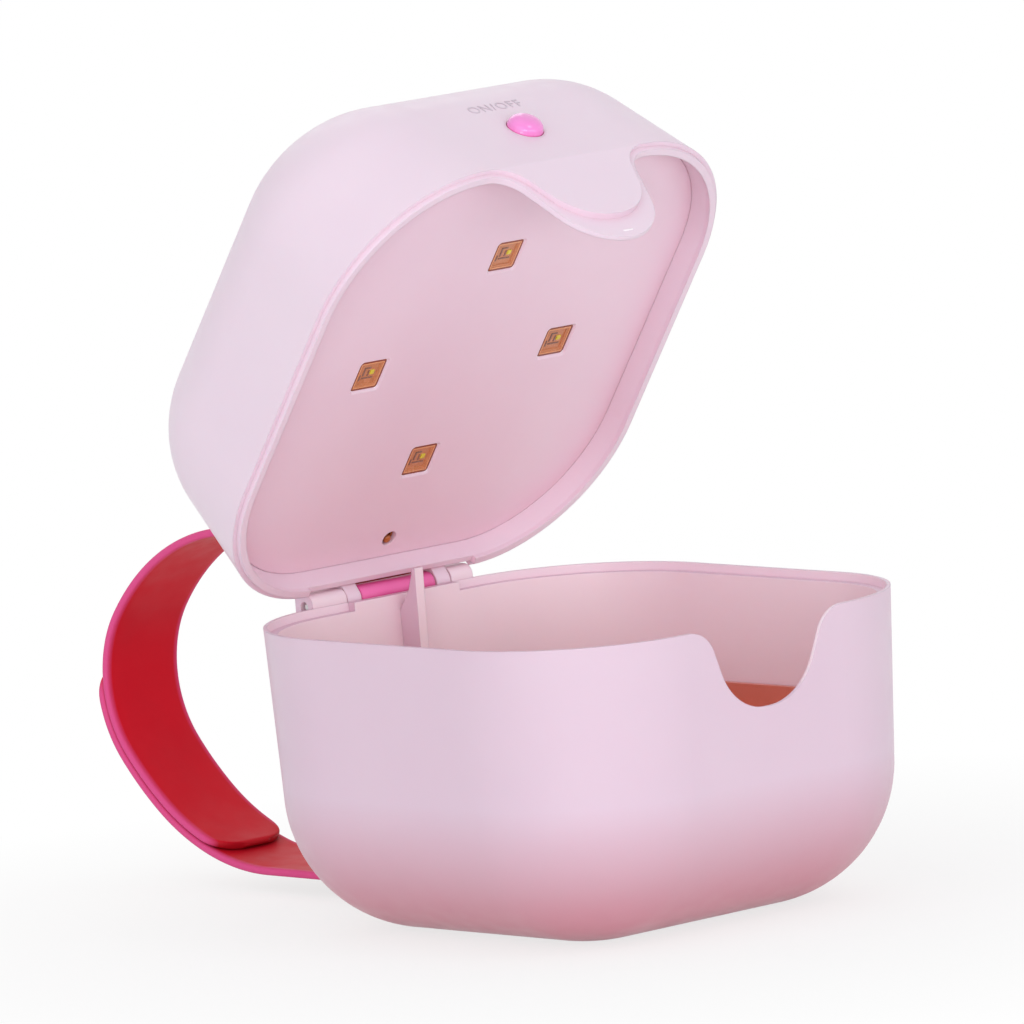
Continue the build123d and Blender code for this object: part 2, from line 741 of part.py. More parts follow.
with BuildPart() as switch_board_screws:
    with BuildSketch(button_plane.offset(switch_board_z - board_thickness)):
        with Locations((-switch_boss_x, 0), (switch_boss_x, 0)):
            Circle(1.3)
    extrude(amount=-0.9)
    with BuildSketch(button_plane.offset(switch_board_z - board_thickness)):
        with Locations((-switch_boss_x, 0), (switch_boss_x, 0)):
            Circle(switch_screw_radius)
    extrude(amount=board_thickness + switch_screw_grip)

with BuildPart() as indicator_led:
    with BuildSketch(button_plane.offset(switch_board_z)):
        with Locations((0, switch_size / 2 + 1.4)):
            Rectangle(2.0, 1.2)
    extrude(amount=0.9)

# ---------------------------------------------------------------- open the lid and write the pieces
base_pieces = {
    "base_shell": base_shell,
    "chamber_liner": chamber_liner,
    "hinge_pin": hinge_pin,
    "strap": strap,
}
lid_pieces = {
    "lid_shell": lid_shell,
    "led_panel": led_panel,
    "led_board": led_board,
    "interlock_switch": interlock_switch,
    "interlock_plunger": interlock_plunger,
    "control_board": control_board,
    "control_board_screws": control_board_screws,
    "control_chips": control_chips,
    "board_header": board_header,
    "charging_port": charging_port,
    "battery_pad": battery_pad,
    "battery": battery,
    "battery_connector": battery_connector,
    "battery_leads": battery_leads,
    "power_button": power_button,
    "tact_plunger": tact_plunger,
    "tact_switch": tact_switch,
    "switch_board": switch_board,
    "switch_board_screws": switch_board_screws,
    "indicator_led": indicator_led,
}
for number, (uv_led, led_window) in enumerate(zip(uv_leds, led_windows), start=1):
    lid_pieces[f"uv_led_{number}"] = uv_led
    lid_pieces[f"led_window_{number}"] = led_window

for piece in lid_pieces.values():
    piece.part = piece.part.rotate(hinge_axis, lid_open)

os.makedirs("parts", exist_ok=True)
for name, piece in (base_pieces | lid_pieces).items():
    piece.part.label = name
    export_step(piece.part, f"parts/{name}.step")
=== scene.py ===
import json
from math import cos, degrees, hypot, pi, radians, sin, sqrt, tan

import bmesh
import bpy
from mathutils import Matrix, Vector


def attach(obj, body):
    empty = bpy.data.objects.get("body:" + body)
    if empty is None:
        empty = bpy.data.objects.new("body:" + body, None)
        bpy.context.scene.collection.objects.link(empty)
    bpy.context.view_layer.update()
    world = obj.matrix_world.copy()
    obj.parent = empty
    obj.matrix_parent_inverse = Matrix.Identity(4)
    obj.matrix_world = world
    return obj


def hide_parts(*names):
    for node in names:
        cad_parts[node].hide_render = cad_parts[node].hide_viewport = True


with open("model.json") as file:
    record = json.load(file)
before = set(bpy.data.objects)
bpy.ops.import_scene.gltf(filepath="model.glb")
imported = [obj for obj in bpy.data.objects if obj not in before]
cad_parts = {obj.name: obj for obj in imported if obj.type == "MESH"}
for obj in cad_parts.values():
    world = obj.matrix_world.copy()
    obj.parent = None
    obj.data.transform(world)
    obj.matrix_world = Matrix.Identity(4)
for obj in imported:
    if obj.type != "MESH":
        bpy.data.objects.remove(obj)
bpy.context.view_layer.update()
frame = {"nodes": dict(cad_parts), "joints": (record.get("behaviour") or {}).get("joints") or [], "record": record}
nodes = frame["nodes"]
MM = 0.001
hinge_y, hinge_z = 39.0, 43.5
hinge = Vector(next(joint["pos_m"] for joint in frame["joints"] if joint["name"] == "lid_hinge"))
lid_turn = Matrix.Rotation(-radians(55), 4, "X")
strap_middle = 1.2
corner_signs = ((1, 1), (-1, 1), (-1, -1), (1, -1))


def on_lid(x, y, z):
    """A point given in mm with the lid shut, where it is with the lid open as at rest."""
    return hinge + lid_turn @ (Vector((x, y, z)) * MM - hinge)


def along_lid(x, y, z):
    """A direction given with the lid shut, where it points with the lid open as at rest."""
    return lid_turn.to_3x3() @ Vector((x, y, z)).normalized()


# ---------------------------------------------------------------- materials
class Shader:
    """A principled material with helpers that add texture nodes to it."""

    def __init__(self, name, colour, roughness, **sockets):
        self.material = bpy.data.materials.new(name)
        self.material.use_nodes = True
        self.tree = self.material.node_tree
        self.bsdf = self.tree.nodes["Principled BSDF"]
        self.colour = colour
        self.set("Base Color", (*colour, 1))
        self.set("Roughness", roughness)
        for socket, value in sockets.items():
            self.set(socket.replace("_", " "), value)
        self.place = self.node("ShaderNodeTexCoord").outputs["Object"]
        self.normal = None

    def set(self, socket, value):
        self.bsdf.inputs[socket].default_value = value

    def node(self, kind, **inputs):
        node = self.tree.nodes.new(kind)
        for socket, value in inputs.items():
            self.feed(node.inputs[socket.replace("_", " ")], value)
        return node

    def feed(self, socket, value):
        if isinstance(value, bpy.types.NodeSocket):
            self.tree.links.new(value, socket)
        else:
            socket.default_value = value

    def noise(self, size, detail=2.0, roughness=0.5):
        """Noise whose blotches are about size metres across."""
        noise = self.node("ShaderNodeTexNoise", Vector=self.place, Scale=1 / size, Detail=detail, Roughness=roughness)
        return noise.outputs["Fac"]

    def ramp(self, value, low, high, start=0.0, end=1.0):
        """value, spread from low..high to start..end."""
        ramp = self.node("ShaderNodeMapRange", Value=value)
        for socket, number in zip(("From Min", "From Max", "To Min", "To Max"), (low, high, start, end)):
            ramp.inputs[socket].default_value = number
        return ramp.outputs["Result"]

    def maths(self, operation, *values, kind="ShaderNodeMath", result="Value"):
        """The result of an operation on sockets or numbers."""
        node = self.tree.nodes.new(kind)
        node.operation = operation
        for socket, value in zip(node.inputs, values):
            self.feed(socket, value)
        return node.outputs[result]

    def mix(self, factor, first, second):
        """A colour between two others."""
        mix = self.tree.nodes.new("ShaderNodeMix")
        mix.data_type = "RGBA"
        colour_a, colour_b, colour_out = mix.inputs[6], mix.inputs[7], mix.outputs[2]
        self.feed(mix.inputs["Factor"], factor)
        self.feed(colour_a, first)
        self.feed(colour_b, second)
        return colour_out

    def round_edges(self, radius):
        """Shade the edges as if they were rounded."""
        bevel = self.node("ShaderNodeBevel", Radius=radius)
        bevel.samples = 6
        self.normal = bevel.outputs["Normal"]
        self.feed(self.bsdf.inputs["Normal"], self.normal)
        return self

    def bump(self, height, distance, strength=1.0):
        bump = self.node("ShaderNodeBump", Height=height, Distance=distance, Strength=strength)
        if self.normal is not None:
            self.feed(bump.inputs["Normal"], self.normal)
        self.normal = bump.outputs["Normal"]
        self.feed(self.bsdf.inputs["Normal"], self.normal)
        return self

    def tint(self, factor, second):
        """Blend the base colour towards another by factor."""
        self.feed(self.bsdf.inputs["Base Color"], self.mix(factor, (*self.colour, 1), (*second, 1)))
        return self

    def blend_over(self, factor, second):
        """Blend whatever the base colour is by now towards another by factor."""
        base = self.bsdf.inputs["Base Color"]
        self.feed(base, self.mix(factor, base.links[0].from_socket, (*second, 1)))
        return self

    def paint_shade_in_hollows(self, reach, second, share=1.0):
        """Painted shade: deepen the colour where the surface is hollow or close to another, within reach metres, where
        shade falls.
        """
        closeness = self.node("ShaderNodeAmbientOcclusion", Distance=reach)
        closeness.samples = 8
        return self.blend_over(self.ramp(closeness.outputs["AO"], 0.15, 0.95, share, 0.0), second)

    def gloss(self, factor, low, high):
        """Vary the roughness from low to high by factor."""
        self.feed(self.bsdf.inputs["Roughness"], self.ramp(factor, 0.3, 0.7, low, high))
        return self


def srgb(red, green, blue):
    """A colour given as 0-255 sRGB, in the linear values that Blender works in."""
    return tuple((c / 255 / 12.92) if c <= 10 else ((c / 255 + 0.055) / 1.055) ** 2.4 for c in (red, green, blue))


# sizes of the surface detail that the plastics share, and the reach of the painted shade in their hollow places
edge_radius, grain_size, grain_depth = 0.25 * MM, 0.25 * MM, 0.02 * MM
mottling, sheen_patches, shade_reach = 22 * MM, 3 * MM, 10 * MM
# the colour of the painted shade in the case's hollow places
hollow_shade_colour = srgb(224, 152, 170)
# light scatters a little under the surface of the case's pale plastic, most of all red light
milky = {"Subsurface_Weight": 0.1, "Subsurface_Radius": (1.0, 0.35, 0.45), "Subsurface_Scale": 1.0 * MM}


def moulded(name, colour, shade, roughness=0.42, grain=grain_size, edge=edge_radius, hollow=None, **sockets):
    """Satin injection-moulded plastic: spark-eroded grain, faint flow mottling and softened edges, and, where hollow
    is given, painted shade in hollow places and close to other parts.
    """
    shader = Shader(name, colour, roughness, **sockets)
    shader.round_edges(edge)
    shader.tint(shader.ramp(shader.noise(mottling, 3), 0.35, 0.7), shade)
    if hollow:
        shader.paint_shade_in_hollows(*hollow)
    shader.gloss(shader.noise(sheen_patches, 4), roughness - 0.05, roughness + 0.06)
    shader.bump(shader.noise(grain, 3, 0.6), grain_depth, 0.5)
    return shader.material


def metal(name, colour, roughness, grain=0.08 * MM, stretch=12, edge=0.1 * MM):
    """Drawn or pressed metal with fine directional scratches."""
    shader = Shader(name, colour, roughness, Metallic=1.0)
    shader.round_edges(edge)
    mapping = shader.node("ShaderNodeMapping", Vector=shader.place, Scale=(1, stretch, stretch))
    scratches = shader.node("ShaderNodeTexNoise", Vector=mapping.outputs["Vector"], Scale=1 / (grain * stretch),
                            Detail=3.0)
    shader.gloss(scratches.outputs["Fac"], roughness - 0.08, roughness + 0.12)
    shader.bump(scratches.outputs["Fac"], 0.01 * MM, 0.4)
    return shader.material


def silicone_band(name):
    """Red silicone whose thin rounded edges are painted pink, as painted light for the light that comes through them
    and glances off them.
    """
    shader = Shader(name, srgb(226, 20, 44), 0.5, Specular_IOR_Level=0.12)
    shader.tint(shader.ramp(shader.noise(14 * MM, 3), 0.35, 0.7), srgb(216, 18, 42))
    # painted shade: darker red where the band is enclosed by the case and the floor, within 45 mm
    shader.paint_shade_in_hollows(45 * MM, srgb(150, 16, 28), 0.9)
    # painted light: pink on the band's edges, 5.9 to 6.9 mm from its middle
    across = shader.node("ShaderNodeSeparateXYZ", Vector=shader.place).outputs["X"]
    from_middle = shader.maths("ABSOLUTE", shader.maths("SUBTRACT", across, strap_middle * MM))
    shader.blend_over(shader.ramp(from_middle, 5.9 * MM, 6.9 * MM), srgb(228, 86, 146))
    shader.gloss(shader.noise(sheen_patches, 4), 0.45, 0.56)
    shader.bump(shader.noise(0.3 * MM, 3, 0.6), grain_depth, 0.4)
    return shader.material


def base_plastic(name):
    """The case's plastic, with painted light on its inner walls, and painted shade deepening the pink towards the
    curved lower edge.
    """
    shader = Shader(name, srgb(224, 200, 217), 0.4, **milky)
    shader.round_edges(edge_radius)
    shader.tint(shader.ramp(shader.noise(mottling, 3), 0.35, 0.7), srgb(222, 197, 215))
    # painted shade: the colour deepens from 21 mm down to 3 mm above the bottom, where the curved lower edge turns
    # down, away from the light
    height = shader.node("ShaderNodeSeparateXYZ", Vector=shader.place).outputs["Z"]
    shader.blend_over(shader.ramp(height, 21 * MM, 3 * MM), srgb(206, 140, 154))
    # painted light: the inner walls are painted lighter, for the light that falls into the case; a wall is an inner
    # one where its normal points back to the middle of the case
    normal = shader.node("ShaderNodeNewGeometry").outputs["True Normal"]
    from_axis = shader.maths("MULTIPLY", shader.place, (1, 1, 0), kind="ShaderNodeVectorMath", result="Vector")
    facing = shader.maths("DOT_PRODUCT", from_axis, normal, kind="ShaderNodeVectorMath")
    shader.blend_over(shader.ramp(facing, -2 * MM, -6 * MM), srgb(246, 228, 239))
    # painted shade in hollow places and close to other parts
    shader.paint_shade_in_hollows(shade_reach, hollow_shade_colour, 0.35)
    shader.gloss(shader.noise(sheen_patches, 4), 0.35, 0.46)
    shader.bump(shader.noise(grain_size, 3, 0.6), grain_depth, 0.5)
    return shader.material


# hollow=(reach, colour, share) is painted shade: the colour deepens to that colour in hollow places and close to other
# parts
materials = {
    "case_plastic": moulded("case_plastic", srgb(239, 220, 235), srgb(237, 217, 233), 0.4,
                            hollow=(shade_reach, hollow_shade_colour, 0.4), **milky),
    "base_plastic": base_plastic("base_plastic"),
    "panel_plastic": moulded("panel_plastic", srgb(243, 218, 234), srgb(241, 214, 231), 0.38,
                             hollow=(shade_reach, hollow_shade_colour, 0.42), **milky),
    "strap_silicone": silicone_band("strap_silicone"),
    # painted light: the sleeve is the strap's own silicone, in a lit copy painted brighter pink than the strap, with
    # painted shade within 3 mm where the lid overhangs it
    "sleeve_silicone": moulded("sleeve_silicone", srgb(246, 118, 188), srgb(242, 108, 178), 0.4,
                               hollow=(3 * MM, srgb(206, 40, 110), 0.8)),
    "liner_metal": metal("liner_metal", srgb(238, 176, 158), 0.32),
    "pin_steel": metal("pin_steel", srgb(196, 192, 194), 0.25),
    "button_rubber": moulded("button_rubber", srgb(247, 140, 218), srgb(244, 130, 210), 0.12,
                             hollow=(1.2 * MM, srgb(228, 84, 150), 0.9), Coat_Weight=0.6,
                             Coat_Roughness=0.05),
    "board_laminate": moulded("board_laminate", srgb(18, 84, 44), srgb(14, 74, 38), 0.3),
    "board_aluminium": moulded("board_aluminium", srgb(226, 226, 222), srgb(214, 214, 210), 0.35),
    "chip_resin": moulded("chip_resin", srgb(34, 34, 36), srgb(28, 28, 30), 0.55),
    "lamp_ceramic": moulded("lamp_ceramic", srgb(240, 176, 128), srgb(232, 162, 112), 0.3, grain=0.1 * MM,
                            edge=0.05 * MM, hollow=(0.8 * MM, srgb(180, 96, 58), 0.6)),
    # painted shade for the gap round each lamp
    "lamp_frame": moulded("lamp_frame", srgb(150, 74, 54), srgb(134, 62, 46), 0.3, grain=0.1 * MM,
                          edge=0.05 * MM),
    "lamp_die": moulded("lamp_die", srgb(232, 214, 70), srgb(214, 196, 52), 0.2, grain=0.1 * MM,
                        edge=0.04 * MM),
    "lamp_trace": moulded("lamp_trace", srgb(146, 104, 88), srgb(124, 84, 72), 0.35, grain=0.1 * MM,
                          edge=0.04 * MM),
    "lamp_glass": moulded("lamp_glass", srgb(255, 250, 245), srgb(250, 245, 238), 0.06, Alpha=0.02, IOR=1.46),
    # painted highlight: a paler copy of the case plastic for the lit bevels round the lamps and the catch ridge
    "bevel_plastic": moulded("bevel_plastic", srgb(252, 242, 250), srgb(250, 238, 247), 0.3, edge=0.05 * MM),
    "lettering": moulded("lettering", srgb(228, 212, 227), srgb(225, 209, 224), 0.5),
    "amber_resin": moulded("amber_resin", srgb(186, 104, 48), srgb(160, 80, 34), 0.25,
                           hollow=(1 * MM, srgb(110, 40, 20), 0.8)),
    "screw_steel": metal("screw_steel", srgb(190, 190, 194), 0.3),
    "socket_steel": metal("socket_steel", srgb(198, 198, 202), 0.28),
    "battery_wrap": moulded("battery_wrap", srgb(198, 202, 208), srgb(186, 190, 198), 0.3),
    "pad_foam": moulded("pad_foam", srgb(228, 226, 220), srgb(220, 218, 210), 0.85, grain=0.5 * MM),
    "connector_nylon": moulded("connector_nylon", srgb(232, 226, 206), srgb(226, 220, 200), 0.45),
    "lead_sleeve": moulded("lead_sleeve", srgb(190, 26, 30), srgb(178, 22, 26), 0.4),
    "switch_resin": moulded("switch_resin", srgb(38, 38, 40), srgb(32, 32, 34), 0.4),
    "plunger_resin": moulded("plunger_resin", srgb(222, 216, 200), srgb(214, 208, 190), 0.4),
    "indicator_resin": moulded("indicator_resin", srgb(240, 236, 200), srgb(236, 230, 190), 0.15,
                               Transmission_Weight=0.6),
}
slots = {part["node"]: part["material_slot"] for part in frame["record"]["subparts"]}


def dress(piece, material):
    """Give a piece one of the materials, and nothing else."""
    piece.data.materials.clear()
    piece.data.materials.append(materials[material])
    return piece


for name, node in nodes.items():
    dress(node, slots[name])
dress(nodes["interlock_plunger"], "amber_resin")
dress(nodes["base_shell"], "base_plastic")


# ---------------------------------------------------------------- mesh helpers
def mesh_object(name, mesh):
    piece = bpy.data.objects.new(name, mesh)
    bpy.context.scene.collection.objects.link(piece)
    return piece


def skin(name, rings, body, slot, material=None, closed_ends=True, sharp=None):
    """A surface through rings of as many points each, with or without end caps, that rides on a body."""
    work = bmesh.new()
    rows = [[work.verts.new(point) for point in ring] for ring in rings]
    count = len(rows[0])
    for low, high in zip(rows, rows[1:]):
        for k in range(count):
            work.faces.new((low[k], low[(k + 1) % count], high[(k + 1) % count], high[k]))
    if closed_ends:
        for row in (rows[0][::-1], rows[-1]):
            middle = work.verts.new(sum((v.co for v in row), Vector()) / count)
            for k in range(count):
                work.faces.new((row[k], row[(k + 1) % count], middle))
    bmesh.ops.recalc_face_normals(work, faces=work.faces)
    mesh = bpy.data.meshes.new(name)
    work.to_mesh(mesh)
    work.free()
    mesh.polygons.foreach_set("use_smooth", [True] * len(mesh.polygons))
    if sharp is not None:
        mesh.set_sharp_from_angle(angle=radians(sharp))
    piece = dress(mesh_object(name, mesh), material or slot)
    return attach(piece, body)


def lathe(name, profile, centre, axis, *finish, count=48, **options):
    """A turned piece: profile is (distance along axis, radius) in mm from centre."""
    axis_radius = 0.002  # instead of 0, so that no face is without area
    axis = Vector(axis).normalized()
    side = axis.orthogonal().normalized()
    other = axis.cross(side)
    rings = [[Vector(centre) + axis * along * MM
              + (side * cos(2 * pi * k / count) + other * sin(2 * pi * k / count)) * max(radius, axis_radius) * MM
              for k in range(count)] for along, radius in profile]
    return skin(name, rings, *finish, **options)


def rounded_corners(half_x, half_y, radius, steps):
    """The points of a rounded rectangle's four corners, one list for each."""
    corners = []
    for quarter, (sign_x, sign_y) in enumerate(corner_signs):
        angles = [radians(90 * (quarter + step / steps)) for step in range(steps + 1)]
        corners.append([(sign_x * (half_x - radius) + radius * cos(angle),
                         sign_y * (half_y - radius) + radius * sin(angle)) for angle in angles])
    return corners


def stepped_block(name, levels, place, corner, *finish, **options):
    """A block on the lid of rounded rectangles: levels are (half width, half depth, height) in closed-lid mm."""
    rings = []
    for half_x, half_y, height in levels:
        corners = rounded_corners(half_x, half_y, min(corner, half_x * 0.9, half_y * 0.9), 3)
        rings.append([on_lid(place[0] + x, place[1] + y, height) for points in corners for x, y in points])
    return skin(name, rings, *finish, sharp=40, **options)


# ---------------------------------------------------------------- carrying strap
strap_width, strap_thickness, layer_gap = 14.0, 1.15, 0.1
strap_lift, back_gap, floor_bend, below_pin = 2.5, 0.2, 11.0, 1.2
bend_y, bend_z = 61.7, 37.225
inner_radii = (32.9, 48.5, 16.1, 33.3)
outer_radii = [radius + strap_thickness + layer_gap for radius in inner_radii]
loop_turns = (39.6, 11.4, 76.3, 81.2)
coarse_step, fine_step, fine_length = 0.8, 0.1, 6.0


def route(start, heading, legs, step=coarse_step):
    """Points and headings, in mm and radians, along runs (length, None) and left turns (radius, degrees)."""
    (y, z), heading = start, radians(heading)
    track = [(y, z, heading)]
    for size, turn in legs:
        length = size if turn is None else size * radians(turn)
        count = max(2, int(length / step))
        for _ in range(count):
            bend = 0 if turn is None else radians(turn) / count
            chord = length / count if turn is None else 2 * size * sin(bend / 2)
            y += chord * cos(heading + bend / 2)
            z += chord * sin(heading + bend / 2)
            heading += bend
            track.append((y, z, heading))
    return track


def band(name, track, tip_at_start):
    """A moulded band along the track: rounded edges, and a tongue-shaped tip at one end."""
    travelled = [0.0]
    for last, point in zip(track, track[1:]):
        travelled.append(travelled[-1] + hypot(point[0] - last[0], point[1] - last[1]))
    rings = []
    tip_length, thin_length = 5.5, 0.7
    tip_power, least_width, least_thickness = 2.6, 0.32, 0.15
    for (y, z, heading), done in zip(track, travelled):
        to_tip = max(0.0, done if tip_at_start else travelled[-1] - done)
        narrowing = 1 - min(1.0, to_tip / tip_length)
        half = strap_width / 2 * max(least_width, (1 - narrowing ** tip_power) ** (1 / tip_power))
        thinning = 1 - min(1.0, to_tip / thin_length)
        thick = strap_thickness / 2 * max(least_thickness, sqrt(1 - thinning ** 2))
        round_by = min(0.5, thick * 0.95)
        corners = rounded_corners(half, thick, round_by, 4)
        # the two wide faces have points of their own between the corners
        across = [(half - round_by) * (1 - share / 4) for share in range(1, 8)]
        outline = [*corners[0], *((x, thick) for x in across), *corners[1],
                   *corners[2], *((-x, -thick) for x in across), *corners[3]]
        rings.append([Vector((strap_middle + x, y - n * sin(heading), z + n * cos(heading))) * MM for x, n in outline])
    return skin(name, rings, "strap", "strap_silicone")


overlap_turn, outer_tip_turn = 16.0, 46.0
overlap = radians(overlap_turn - 90)
inner_start = (bend_y + inner_radii[0] * cos(overlap), bend_z + inner_radii[0] * sin(overlap))
inner_track = route(inner_start, overlap_turn, [(inner_radii[0], loop_turns[0] - overlap_turn),
                                                *zip(inner_radii[1:], loop_turns[1:])])
end_y, end_z, end_heading = inner_track[-1]
# the inner tail ends inside the sleeve's wall
pin_radius, sleeve_depth = 0.75, 1.0
run_left = hypot(end_y - hinge_y - pin_radius, end_z - hinge_z) - sleeve_depth
inner_track += route((end_y, end_z), degrees(end_heading), [(run_left, None)])[1:]
# fine stations at the tip, so that its outline is round
tip = route(inner_start, overlap_turn, [(inner_radii[0], degrees(fine_length / inner_radii[0]))], fine_step)
strap_inner = band("strap_inner_tail", tip + [p for p in inner_track if p[2] > tip[-1][2] + 0.01], True)

floor_line = strap_lift + strap_thickness / 2
fine_turn = degrees(fine_length / outer_radii[2])
outer_track = route((hinge_y + back_gap, hinge_z - below_pin), -90, [
    (hinge_z - floor_line - floor_bend - below_pin, None), (floor_bend, 90),
    (bend_y - hinge_y - back_gap - floor_bend, None),
    (outer_radii[0], loop_turns[0]), (outer_radii[1], loop_turns[1])])
for turn, step in ((outer_tip_turn - fine_turn, coarse_step), (fine_turn, fine_step)):
    y, z, heading = outer_track[-1]
    outer_track += route((y, z), degrees(heading), [(outer_radii[2], turn)], step)[1:]
band("strap_outer_tail", outer_track, False)
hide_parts("strap")

# the sleeve gets the lit copy of the strap's silicone, painted brighter pink as painted light
lathe("strap_sleeve", [(-7.15, 0.8), (-7.15, 1.5), (-7.05, 1.7), (-6.85, 1.8), (6.85, 1.8), (7.05, 1.7),
                       (7.15, 1.5), (7.15, 0.8)],
      Vector((strap_middle, hinge_y, hinge_z)) * MM, (1, 0, 0), "strap", "strap_silicone",
      "sleeve_silicone", closed_ends=False, sharp=50)
for number, stud_turn in enumerate((6.0, 20.0), 1):
    angle = radians(overlap_turn + stud_turn - 90)
    outward = Vector((0, cos(angle), sin(angle)))
    root = Vector((strap_middle, bend_y, bend_z)) + outward * (inner_radii[0] + strap_thickness * 1.5 + layer_gap)
    lathe(f"strap_stud_{number}", [(-1.3, 1.9), (0.1, 1.9), (0.1, 3.0), (0.22, 3.1), (0.4, 3.0), (0.55, 2.6),
                                   (0.62, 1.8), (0.64, 0.8), (0.64, 0.0)],
          root * MM, outward, "strap", "strap_silicone", sharp=50)

# ---------------------------------------------------------------- lamps
panel_face, lamp_low = 46.7, 47.0
lamp_radius = 18
floor_level = lamp_low + 0.36
# the printed lines on a lamp's floor: (x, y) from its middle, half width and half depth
traces = ((-0.75, -0.3, 0.16, 0.62), (-0.1, 0.72, 0.8, 0.13), (-0.3, -1.05, 0.62, 0.14), (0.1, -0.1, 0.14, 0.5),
          (0.95, 0.75, 0.35, 0.12), (-1.25, 0.6, 0.12, 0.5))
for number, (x, y) in enumerate(((lamp_radius, 0), (0, lamp_radius), (-lamp_radius, 0), (0, -lamp_radius)), 1):
    package = stepped_block(
        f"lamp_package_{number}",
        [(2.35, 2.35, lamp_low + 1.4), (2.35, 2.35, lamp_low + 0.05), (2.3, 2.3, lamp_low),
         (2.0, 2.0, lamp_low), (1.96, 1.96, lamp_low + 0.12), (1.72, 1.72, lamp_low + 0.14),
         (1.7, 1.7, floor_level)], (x, y), 0.15, "lid", "lamp_ceramic")
    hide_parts(f"uv_led_{number}")
    # painted shade: a dark ring round the package where the gap between window and package is in shade, and a painted
    # highlight on the pale bevel that leads in to it
    stepped_block(f"lamp_shade_ring_{number}", [(2.52, 2.52, lamp_low + 0.2), (2.52, 2.52, lamp_low + 0.02),
                                            (2.2, 2.2, lamp_low - 0.015), (2.16, 2.16, lamp_low + 0.2)],
                  (x, y), 0.2, "lid", "lamp_ceramic", "lamp_frame", closed_ends=False)
    stepped_block(f"lamp_bevel_{number}", [(2.5, 2.5, lamp_low + 0.04), (2.5, 2.5, lamp_low),
                                           (2.84, 2.84, panel_face - 0.005), (2.9, 2.9, panel_face + 0.01)],
                  (x, y), 0.45, "lid", "panel_plastic", "bevel_plastic", closed_ends=False)
    stepped_block(f"lamp_die_{number}", [(0.38, 0.38, floor_level), (0.38, 0.38, floor_level - 0.14),
                                         (0.32, 0.32, floor_level - 0.18)], (x + 0.75, y - 0.25), 0.1,
                  "lid", "lamp_ceramic", "lamp_die")
    for part, (dx, dy, half_x, half_y) in enumerate(traces, 1):
        stepped_block(f"lamp_trace_{number}_{part}",
                      [(half_x, half_y, floor_level), (half_x, half_y, floor_level - 0.05),
                       (half_x - 0.03, half_y - 0.03, floor_level - 0.07)], (x + dx, y + dy), 0.05,
                      "lid", "lamp_ceramic", "lamp_trace")

# ---------------------------------------------------------------- small parts of the lid
interlock_x, interlock_y = 0.3, hinge_y - 7.05
wall_slope = radians(9.45)
wall_front, wall_foot = -37.5, 43.9


def front_wall(height, inset=0.0):
    """The middle of the lid's sloping front wall at this height with the lid shut."""
    return on_lid(0, wall_front + (height - wall_foot) * tan(wall_slope) + inset, height)


lathe("interlock_guide", [(1.15, 0.72), (0.66, 0.72), (0.62, 0.78), (0.62, 1.08), (0.68, 1.16), (1.15, 1.17)],
      on_lid(interlock_x, interlock_y, panel_face), along_lid(0, 0, 1), "lid", "plunger_resin", "amber_resin",
      closed_ends=False, sharp=50)

wall_out = along_lid(0, -cos(wall_slope), sin(wall_slope))
button_seat = front_wall(52.6)
dome = [(0.28 + 1.5 * sin(radians(10 * k)), 2.56 * cos(radians(10 * k)) ** 0.8) for k in range(9)]
button = lathe("button_cap", [(-1.9, 3.8), (-1.0, 3.8), (-1.0, 2.6), (0.0, 2.62), (0.18, 2.62), *dome, (1.78, 0.0)],
               button_seat, wall_out, "button", "button_rubber", sharp=60)
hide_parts("power_button")
lathe("button_bezel", [(-0.9, 2.7), (-0.02, 2.7), (0.03, 2.75), (0.03, 2.88), (0.0, 2.94), (-0.9, 2.94)],
      button_seat, wall_out, "lid", "case_plastic", closed_ends=False, sharp=60)

# the short ridge on the tongue that clicks under the notch's edge
# its paler plastic is a painted highlight
lathe("catch_ridge", [(-1.0, 0.02), (-0.96, 0.13), (-0.85, 0.2), (-0.7, 0.23), (0.7, 0.23), (0.85, 0.2),
                      (0.96, 0.13), (1.0, 0.02)],
      on_lid(0.3, -35.55, 29.3), (1, 0, 0), "lid", "case_plastic", "bevel_plastic")

pin_reach = 14.0
for name, side in (("left", -1), ("right", 1)):
    lathe(f"hinge_pin_end_{name}", [(0, 0.6), (0.9, 0.6), (1.02, 0.56), (1.12, 0.45), (1.18, 0.25), (1.2, 0.0)],
          Vector((side * pin_reach, hinge_y, hinge_z)) * MM, (side, 0, 0), "base", "pin_steel", sharp=60)

# generic lettering beside the switch, printed on the lid's front wall
curve = bpy.data.curves.new("switch_lettering", "FONT")
curve.body = "ON/OFF"
curve.align_x = curve.align_y = "CENTER"
curve.extrude = 0.01
curve.space_character = 1.15
outline = bpy.data.objects.new("lettering_outline", curve)
letters = bpy.data.meshes.new_from_object(outline)
bpy.data.objects.remove(outline)
widest = max(abs(v.co.x) for v in letters.vertices)
tallest = max(abs(v.co.y) for v in letters.vertices)
half_width, half_height, proud = 4.9, 1.0, 0.03
letters_middle = front_wall(58.9, inset=0.01)
letters_up = along_lid(0, sin(wall_slope), cos(wall_slope))
for vertex in letters.vertices:
    x, y, z = vertex.co
    vertex.co = (letters_middle + Vector((1, 0, 0)) * x / widest * half_width * MM
                 + letters_up * y / tallest * half_height * MM + wall_out * (z * 1.5 + proud) * MM)
lettering = dress(mesh_object("switch_lettering", letters), "lettering")
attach(lettering, "lid")

